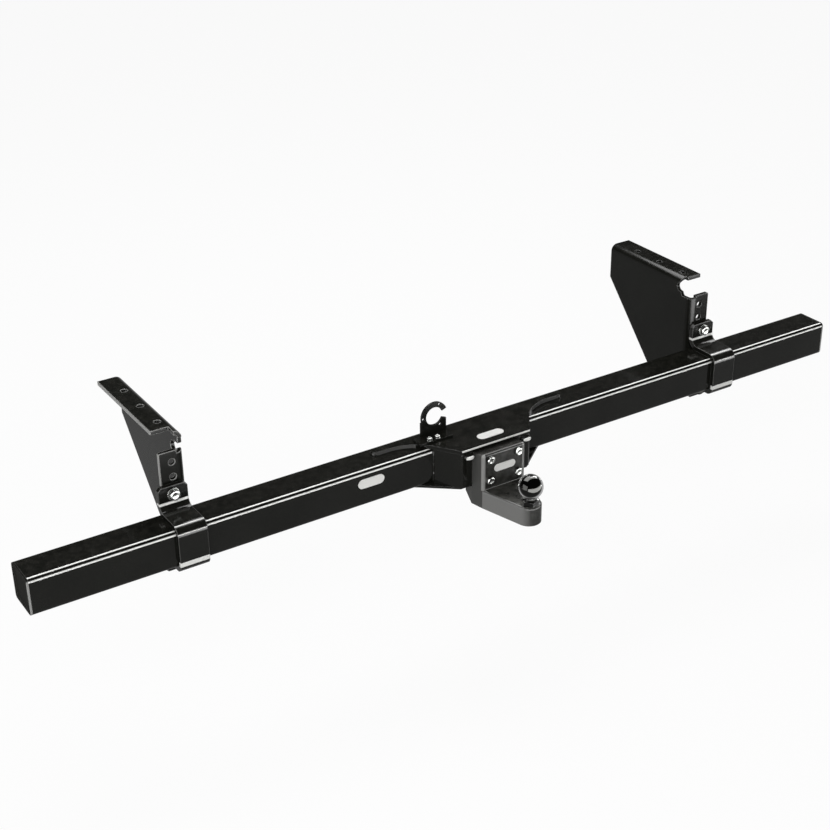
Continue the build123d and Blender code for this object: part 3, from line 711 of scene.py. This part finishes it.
edges, given, result = new_group("rounded_edges", {"Radius": 0.0015, "Gain": 6.0},
                                 {"Normal": "Vector", "Edge": "Float"})
rounding = add(edges, "ShaderNodeBevel", samples=6)
flat_side = add(edges, "ShaderNodeNewGeometry")
agree = add(edges, "ShaderNodeVectorMath", operation="DOT_PRODUCT")
wire(edges, (given["Radius"], rounding.inputs["Radius"]), (rounding.outputs[0], agree.inputs[0]),
     (flat_side.outputs["Normal"], agree.inputs[1]), (rounding.outputs[0], result["Normal"]))
turned_away = calc(edges, "SUBTRACT", 1.0, agree.outputs["Value"])
wire(edges, (calc(edges, "MULTIPLY", turned_away, given["Gain"], clamp=True), result["Edge"]))

coat, given, result = new_group("sprayed_skin", {"Scale": 420.0, "Patch Scale": 7.0},
                                {"Height": "Float", "Patches": "Float"})
place = add(coat, "ShaderNodeTexCoord")
peel = add(coat, "ShaderNodeTexNoise", {"Detail": 3.0, "Roughness": 0.55})
patches = add(coat, "ShaderNodeTexNoise", {"Detail": 5.0, "Roughness": 0.6})
wire(coat, (place.outputs["Object"], peel.inputs["Vector"]), (given["Scale"], peel.inputs["Scale"]),
     (place.outputs["Object"], patches.inputs["Vector"]), (given["Patch Scale"], patches.inputs["Scale"]),
     (peel.outputs["Fac"], result["Height"]))
spread = add(coat, "ShaderNodeMapRange", {"From Min": 0.32, "From Max": 0.68})
wire(coat, (patches.outputs["Fac"], spread.inputs["Value"]), (spread.outputs["Result"], result["Patches"]))
print("groups:", [group.name for group in bpy.data.node_groups])

# %% Settled dust, and the streaks of plating and polishing
dust, given, result = new_group("settled_dust", {"Amount": 0.3, "Scale": 60.0}, {"Mask": "Float"})
place = add(dust, "ShaderNodeTexCoord")
facing = add(dust, "ShaderNodeNewGeometry")
height = add(dust, "ShaderNodeSeparateXYZ")
specks = add(dust, "ShaderNodeTexNoise", {"Detail": 6.0, "Roughness": 0.7})
wire(dust, (place.outputs["Object"], specks.inputs["Vector"]), (given["Scale"], specks.inputs["Scale"]),
     (facing.outputs["Normal"], height.inputs[0]))
upward = add(dust, "ShaderNodeMapRange", {"From Min": 0.35, "From Max": 0.95})
grains = add(dust, "ShaderNodeMapRange", {"From Min": 0.42, "From Max": 0.72})
wire(dust, (height.outputs["Z"], upward.inputs["Value"]), (specks.outputs["Fac"], grains.inputs["Value"]))
lying = calc(dust, "MULTIPLY", upward.outputs["Result"], grains.outputs["Result"])
wire(dust, (calc(dust, "MULTIPLY", lying, given["Amount"], clamp=True), result["Mask"]))

streaks, given, result = new_group("fine_streaks", {"Scale": 900.0, "Stretch": 0.08, "Tone Scale": 45.0},
                                   {"Height": "Float", "Tone": "Float"})
place = add(streaks, "ShaderNodeTexCoord")
squeeze = add(streaks, "ShaderNodeCombineXYZ", {"X": 1.0, "Y": 1.0})
drawn = add(streaks, "ShaderNodeVectorMath", operation="MULTIPLY")
lines = add(streaks, "ShaderNodeTexNoise", {"Detail": 2.0})
tone = add(streaks, "ShaderNodeTexNoise", {"Detail": 4.0, "Roughness": 0.6})
wire(streaks, (given["Stretch"], squeeze.inputs["Z"]), (place.outputs["Object"], drawn.inputs[0]),
     (squeeze.outputs[0], drawn.inputs[1]), (drawn.outputs[0], lines.inputs["Vector"]),
     (given["Scale"], lines.inputs["Scale"]), (place.outputs["Object"], tone.inputs["Vector"]),
     (given["Tone Scale"], tone.inputs["Scale"]), (lines.outputs["Fac"], result["Height"]),
     (tone.outputs["Fac"], result["Tone"]))
print("groups:", [group.name for group in bpy.data.node_groups])

# %% [markdown]
# ## How a finish is put together
# Paint and metal have the same build: a colour that changes over patches and towards worn edges, which on
# some coats are also painted highlights, a roughness that follows the same patches, and a normal that
# starts from the rounded edges and gets the skin's height on top. What is the same all over, such as the
# index of refraction, is set on the shader itself. Some places get painted light of their own, such as a
# bright line painted along a fold as a highlight, so a soft-walled box marks each. A mask painted by hand
# could do that too, but a box is a few numbers that can be read and changed.

# %% Helpers: place a group, mix colours, feed the shader
def use_group(tree, group, **values):
    """Places a group in a material, with its inputs set by name; underscores stand for spaces."""
    made = add(tree, "ShaderNodeGroup", node_tree=group)
    for name, value in values.items():
        made.inputs[name.replace("_", " ")].default_value = value
    return made.outputs


def mix_colors(tree, share, low, high):
    """The colour low where share is 0, high where it is 1; each is a colour or an output socket. The
    colour sockets of a Mix node have the names of its number sockets, so they are taken by their place."""
    made = add(tree, "ShaderNodeMix", data_type="RGBA")
    wire(tree, (share, made.inputs["Factor"]))
    for socket, value in ((made.inputs[6], low), (made.inputs[7], high)):
        if isinstance(value, tuple):
            socket.default_value = (*value, 1)
        else:
            wire(tree, (value, socket))
    return made.outputs[2]


def feed_shader(tree, color, dull, rim, height, depth):
    """Gives the shader its colour and its roughness, and a normal of the rounded edges with the height,
    depth metres at most, on top."""
    shader = tree.nodes["Principled BSDF"]
    relief = add(tree, "ShaderNodeBump", {"Strength": 1.0, "Distance": depth})
    wire(tree, (color, shader.inputs["Base Color"]), (dull, shader.inputs["Roughness"]),
         (height, relief.inputs["Height"]), (rim["Normal"], relief.inputs["Normal"]),
         (relief.outputs[0], shader.inputs["Normal"]))


print("helpers for finishes ready")

# %% Helpers: what looks sideways, and what lies in a box
SOFT_WALL = 1.0
ANYWHERE = (None, None)


def turned_sideways(tree):
    """1 on surfaces that look left or right, 0 on those that look forward or up."""
    facing = add(tree, "ShaderNodeNewGeometry")
    toward = add(tree, "ShaderNodeSeparateXYZ")
    share = add(tree, "ShaderNodeMapRange", {"From Min": 0.45, "From Max": 0.95})
    wire(tree, (facing.outputs["Normal"], toward.inputs[0]),
         (calc(tree, "ABSOLUTE", toward.outputs["X"]), share.inputs["Value"]))
    return share.outputs["Result"]


def inside_box(tree, box):
    """1 inside a box, 0 outside, with soft walls. The box is its three spans, along x, y and z, in
    millimetres from the middle of the tube. It has a twin mirrored to the other end of the bar, and a
    wall that is None is left out."""
    place = add(tree, "ShaderNodeTexCoord")
    at = add(tree, "ShaderNodeSeparateXYZ")
    wire(tree, (place.outputs["Object"], at.inputs[0]))
    distances = (calc(tree, "ABSOLUTE", at.outputs["X"]), at.outputs["Y"], at.outputs["Z"])
    share = 1.0
    for distance, middle, (start, end) in zip(distances, TUBE_MIDDLE, box):
        for wall, inward in ((start, SOFT_WALL), (end, -SOFT_WALL)):
            if wall is not None:
                outer, inner = (wall + middle) * MM, (wall + middle + inward) * MM
                ramp = add(tree, "ShaderNodeMapRange", {"From Min": outer, "From Max": inner})
                wire(tree, (distance, ramp.inputs["Value"]))
                share = calc(tree, "MULTIPLY", ramp.outputs["Result"], share)
    return share


def painted_light_box(painted_light_grey, x=ANYWHERE, y=ANYWHERE, z=ANYWHERE, flanks_only=False):
    """A place painted a lighter grey as painted light, mostly highlights: a box, on every surface in it or
    on those that look sideways.
    """
    return painted_light_grey, (x, y, z), flanks_only


print("masks ready, with walls", SOFT_WALL, "mm soft")

# %% A sprayed coat
EDGE_GAIN = 7.0
COAT_TONE, COAT_PATCH = (0.0055, 0.0058, 0.0045), (0.0085, 0.0088, 0.0072)
THIN_COAT = (0.05, 0.05, 0.047)
DUST_TONE, DUST_ROUGHNESS, DUST_SCALE = (0.16, 0.15, 0.13), 0.7, 70.0
PATCH_ROUGHER = 1.22


def warm_grey(level, blue=0.97):
    """A grey whose blue is this share of its red and green."""
    return level, level, level * blue


def painted(name, edge=THIN_COAT, base=COAT_TONE, patch=COAT_PATCH, ior=1.33, roughness=0.09, scale=420.0,
            bump=0.00002, edge_wear_and_highlight=0.8, dust_amount=0.08, edge_radius=0.0012, painted_light=(), painted_side_light=None,
            patch_scale=9.0):
    """A sprayed or powdered coat. base and patch are two close tones, and edge shows where the coat is thin,
    on some coats also as a painted highlight. Each listed box is painted its own lighter grey as painted
    light, and a side tone, if given, is a lighter tone painted on what looks sideways as painted light."""
    finish = bpy.data.materials.new(name)
    finish.use_nodes = True
    tree = finish.node_tree
    tree.nodes["Principled BSDF"].inputs["IOR"].default_value = ior
    rim = use_group(tree, edges, Radius=edge_radius, Gain=EDGE_GAIN)
    sprayed = use_group(tree, coat, Scale=scale, Patch_Scale=patch_scale)
    lying = use_group(tree, dust, Amount=dust_amount, Scale=DUST_SCALE)
    color = mix_colors(tree, sprayed["Patches"], base, patch)
    # Lighter along the edges where the coat is thin; with the light greys of the brackets and the tongue
    # this is also a painted highlight.
    color = mix_colors(tree, calc(tree, "MULTIPLY", rim["Edge"], edge_wear_and_highlight), color, edge)
    color = mix_colors(tree, lying["Mask"], color, DUST_TONE)
    # Painted light from the side: what looks left or right gets a lighter tone of its own.
    if painted_side_light:
        color = mix_colors(tree, turned_sideways(tree), color, warm_grey(painted_side_light, blue=0.95))
    # Painted light: each box is painted its own lighter grey, mostly as highlights along edges and folds.
    for painted_light_grey, box, flanks_only in painted_light:
        share = inside_box(tree, box)
        if flanks_only:
            share = calc(tree, "MULTIPLY", share, turned_sideways(tree))
        color = mix_colors(tree, share, color, warm_grey(painted_light_grey))
    dull = blend_values(tree, sprayed["Patches"], roughness, roughness * PATCH_ROUGHER)
    dull = blend_values(tree, lying["Mask"], dull, DUST_ROUGHNESS)
    feed_shader(tree, color, dull, rim, sprayed["Height"], bump)
    return finish


print("tone of the black coat:", COAT_TONE)

# %% [markdown]
# ## The black coats
# Everything but the fasteners, the ball and the blank plates is painted black, and each piece shows it in
# its own way. Where the folds and fronts of the tube, the straps, the nose, the chain loops and the plugs
# meet the light, fine light lines are painted into the coat as highlights. The sheared edges of the
# brackets are thin in paint, and those of the left bracket also carry a painted highlight. The casting of
# the tongue is coarse and mottled, with painted light on its sides and front edges, and the plugs are matt.
# One coat for all of them could be made by edge wear alone, but that wears all edges alike.

# %% Where light is painted into the coats
# Spans are in millimetres from the middle of the tube, and open on a side that is None
FLANGE_EDGE = 650.0
# Painted highlight: a light line on the outer edge of each top flange.
FLANGE_PAINTED_HIGHLIGHT = (painted_light_box(0.30, x=(FLANGE_EDGE - 1.4, None), z=(46.0, None), flanks_only=True),)
# Painted highlights: two light lines along the upper front corner of the tube, one on its top and one on its
# front.
TUBE_PAINTED_HIGHLIGHTS = (painted_light_box(0.80, y=(4.0 - HALF_TUBE, 7.8 - HALF_TUBE), z=(HALF_TUBE - 1.7, None)),
              painted_light_box(0.68, y=(None, 1.5 - HALF_TUBE), z=(29.4, 33.7)))
# Painted highlights: light bands on the lower front bend, along the upper front corner and in the inner fold
# of each strap.
STRAP_PAINTED_HIGHLIGHTS = (painted_light_box(0.78, y=(None, -41.0), z=(-33.0, -23.0)), painted_light_box(0.85, y=(-39.8, -33.0), z=(46.0, 50.0)),
               painted_light_box(0.80, y=(None, -46.0), z=(33.6, 40.4)), painted_light_box(0.75, y=(8.0, None), z=(56.8, 62.6)))
# Painted highlights: a light line along the front edge of the nose's top plate, and a faint lighter band on
# the front edges of its wings.
NOSE_PAINTED_HIGHLIGHTS = (painted_light_box(0.80, y=(None, -87.8), z=(42.0, 49.0)),
             painted_light_box(0.10, x=(140.0, None), y=(None, 8.0), z=(HALF_TUBE, HALF_TUBE + NOSE_THICK - 0.3)))
# Painted highlight: a lighter rim across the front of each plug.
PLUG_PAINTED_HIGHLIGHT = (painted_light_box(0.30, y=(None, 1.5 - HALF_TUBE), z=(-36.0, 36.0)),)
# Painted highlight: a light patch on the front of each chain loop.
LOOP_PAINTED_HIGHLIGHT = (painted_light_box(0.75, y=(None, -97.0), z=(27.0, 41.0)),)
# Painted light on the tongue: the sides of the skirt are painted lighter, and light lines run down the front
# edges of its face as painted highlights.
TONGUE_PAINTED_LIGHT = (painted_light_box(0.17, y=(None, FACE_Y + 1.5), z=(-82.0, -41.0), flanks_only=True),
               painted_light_box(0.24, x=(43.5, None), y=(None, FACE_Y + 4.5), z=(-41.0, None)))
print("rubbed places on the straps:", len(STRAP_PAINTED_HIGHLIGHTS))

# %% The coats of the pieces
finishes = {
    "black_paint": painted("black_gloss_coat"),
    "tube_paint": painted("coated_tube", painted_light=TUBE_PAINTED_HIGHLIGHTS),
    "nose_paint": painted("coated_nose_plate", edge=(0.04, 0.04, 0.038), edge_radius=0.0010,
                          painted_light=NOSE_PAINTED_HIGHLIGHTS),
    "strap_paint": painted("coated_strap", edge=(0.12, 0.12, 0.115), roughness=0.13, edge_wear_and_highlight=0.9,
                           edge_radius=0.0025, painted_light=STRAP_PAINTED_HIGHLIGHTS),
    "socket_paint": painted("coated_socket_bracket", edge=(0.03, 0.03, 0.029), ior=1.25, roughness=0.15,
                            bump=0.00003, edge_wear_and_highlight=0.5, dust_amount=0.05, edge_radius=0.0005),
    "loop_paint": painted("coated_rod", edge=(0.10, 0.10, 0.095), roughness=0.20, edge_radius=0.0010,
                          painted_light=LOOP_PAINTED_HIGHLIGHT),
    "plug_paint": painted("matt_plug", edge=(0.10, 0.10, 0.095), base=(0.007, 0.007, 0.006),
                          patch=(0.011, 0.011, 0.010), ior=1.05, roughness=0.50, scale=300.0, bump=0.00005,
                          edge_wear_and_highlight=1.0, dust_amount=0.0, edge_radius=0.0015, painted_light=PLUG_PAINTED_HIGHLIGHT),
    # The casting: its sides get a lighter tone as painted light from the side, and its light edge grey is
    # also a painted highlight on the rounded edges.
    "tongue_paint": painted("coated_casting", edge=(0.30, 0.30, 0.29), base=(0.008, 0.008, 0.007),
                            patch=(0.044, 0.044, 0.040), roughness=0.19, scale=260.0, bump=0.00012,
                            edge_wear_and_highlight=1.0, dust_amount=0.10, edge_radius=0.0025, painted_light=TONGUE_PAINTED_LIGHT,
                            painted_side_light=0.055, patch_scale=45.0),
}
# The brackets' edges: a thin coat and a painted highlight. The left bracket, whose edges catch the light,
# gets a much lighter grey than the right.
for side, painted_light_grey in (("left", 0.42), ("right", 0.12)):
    finishes["plate_paint_" + side] = painted(
        "coated_plate_" + side, edge=warm_grey(painted_light_grey), ior=1.25, roughness=0.12, bump=0.00003, edge_wear_and_highlight=1.0,
        edge_radius=0.0028, painted_light=FLANGE_PAINTED_HIGHLIGHT)
print("coats:", sorted(finishes))

# %% [markdown]
# ## Zinc, ball steel and the pale plates
# Bolts, nuts and washers are zinc plated: grey and slightly cloudy, and darkened as painted shade, and
# made rougher, where they hang low under the tube. The ball is polished and oiled: nearly black where it
# is seen head on, with a bright rim that is painted reflection, which Layer Weight gives. The plates are
# pale matt metal. They are made without metal in the shader, so that they stay even from every side.

# %% Bare and plated metal
STREAK_TONE_SCALE = 60.0
EDGE_WEAR = 0.6
SMOOTHER, ROUGHER = 0.8, 1.25
RIM_FROM, RIM_TO = 0.42, 0.60
PAINTED_SHADE_TONE, ROUGHNESS_IN_PAINTED_SHADE = (0.02, 0.02, 0.018), 0.6


def plated(name, base, patch, edge, roughness, scale, bump, metallic=1.0, ior=1.5, edge_radius=0.0006,
           painted_rim_reflection=None, painted_shade_below=None):
    """Bare or plated metal: streaked, slightly cloudy, brighter where it has been rubbed. A rim grey, if
    given,
    is a painted reflection: the colour turns to it at a grazing view. What hangs lower than the given
    height, in millimetres from the middle of the tube, is darkened as painted shade and made rougher."""
    finish = bpy.data.materials.new(name)
    finish.use_nodes = True
    tree = finish.node_tree
    shader = tree.nodes["Principled BSDF"]
    shader.inputs["Metallic"].default_value = metallic
    shader.inputs["IOR"].default_value = ior
    rim = use_group(tree, edges, Radius=edge_radius, Gain=EDGE_GAIN)
    drawn = use_group(tree, streaks, Scale=scale, Tone_Scale=STREAK_TONE_SCALE)
    color = mix_colors(tree, drawn["Tone"], base, patch)
    color = mix_colors(tree, calc(tree, "MULTIPLY", rim["Edge"], EDGE_WEAR), color, edge)
    # Painted reflection: at a grazing view the colour turns to a light grey, a bright rim.
    if painted_rim_reflection:
        grazing = add(tree, "ShaderNodeLayerWeight", {"Blend": 0.5})
        share = add(tree, "ShaderNodeMapRange", {"From Min": RIM_FROM, "From Max": RIM_TO})
        wire(tree, (grazing.outputs["Facing"], share.inputs["Value"]))
        color = mix_colors(tree, share.outputs["Result"], color, (painted_rim_reflection, painted_rim_reflection, painted_rim_reflection))
    dull = blend_values(tree, drawn["Tone"], roughness * SMOOTHER, roughness * ROUGHER)
    # Painted shade: what hangs low, under the tube, is darkened, and made rougher too.
    if painted_shade_below:
        painted_shade = inside_box(tree, (ANYWHERE, ANYWHERE, (None, painted_shade_below)))
        color = mix_colors(tree, painted_shade, color, PAINTED_SHADE_TONE)
        dull = blend_values(tree, painted_shade, dull, ROUGHNESS_IN_PAINTED_SHADE)
    feed_shader(tree, color, dull, rim, drawn["Height"], bump)
    return finish


finishes["zinc"] = plated(
    "zinc_plate", base=(0.21, 0.22, 0.21), patch=(0.31, 0.31, 0.30), edge=(0.55, 0.55, 0.54),
    roughness=0.24, scale=800.0, bump=0.00003, painted_shade_below=-54.0)
finishes["ball_steel"] = plated(
    "blackened_ball_steel", base=(0.022, 0.022, 0.021), patch=(0.034, 0.034, 0.033),
    edge=(0.12, 0.12, 0.115), roughness=0.08, scale=1400.0, bump=0.000004, painted_rim_reflection=0.9)
finishes["label_plate"] = plated(
    "blank_label_plate", base=(0.76, 0.76, 0.74), patch=(0.84, 0.84, 0.82), edge=(0.86, 0.86, 0.85),
    roughness=0.60, scale=900.0, bump=0.00001, metallic=0.0, ior=1.12)
print("finishes:", sorted(finishes))

# %% [markdown]
# ## Every solid and piece gets its finish
# The record names a material slot for each solid, and each new piece was given one when it was made.
# Painted pieces that wear in their own way, the tube among them, have finishes of their own.

# %% Put the finishes on
OWN_FINISHES = {
    "cross_tube": "tube_paint", "nose_top_plate": "nose_paint", "socket_bracket": "socket_paint",
    "side_bracket_left": "plate_paint_left", "side_bracket_right": "plate_paint_right",
    "strap_left": "strap_paint", "strap_right": "strap_paint",
    "chain_loop_left": "loop_paint", "chain_loop_right": "loop_paint",
    "end_plug_left": "plug_paint", "end_plug_right": "plug_paint",
}


def dress(target, name, slot):
    """The only material of an object becomes its own finish, or else the one of its slot."""
    target.data.materials.clear()
    target.data.materials.append(finishes[OWN_FINISHES.get(name, slot)])


for subpart in frame["record"]["subparts"]:
    node = subpart["node"]
    dress(frame["nodes"][node], node, subpart["material_slot"])
for name, piece in pieces.items():
    dress(piece, name, piece_slots[name])
print("dressed:", len(frame["nodes"]), "solids and", len(pieces), "pieces")

# %% [markdown]
# ## Sizes, and the end
# The dressed model should not grow past the solids, so both boxes are measured and their largest difference
# is printed.

# %% Measure both boxes
def as_lists(box):
    """A pair of corners as plain lists of numbers."""
    return [[float(value) for value in corner] for corner in box]


visual_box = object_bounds()
growth = np.abs(np.array(as_lists(visual_box)) - np.array(as_lists(cad_box))).max()
print("largest difference of the boxes:", round(float(growth) / MM, 2), "mm")
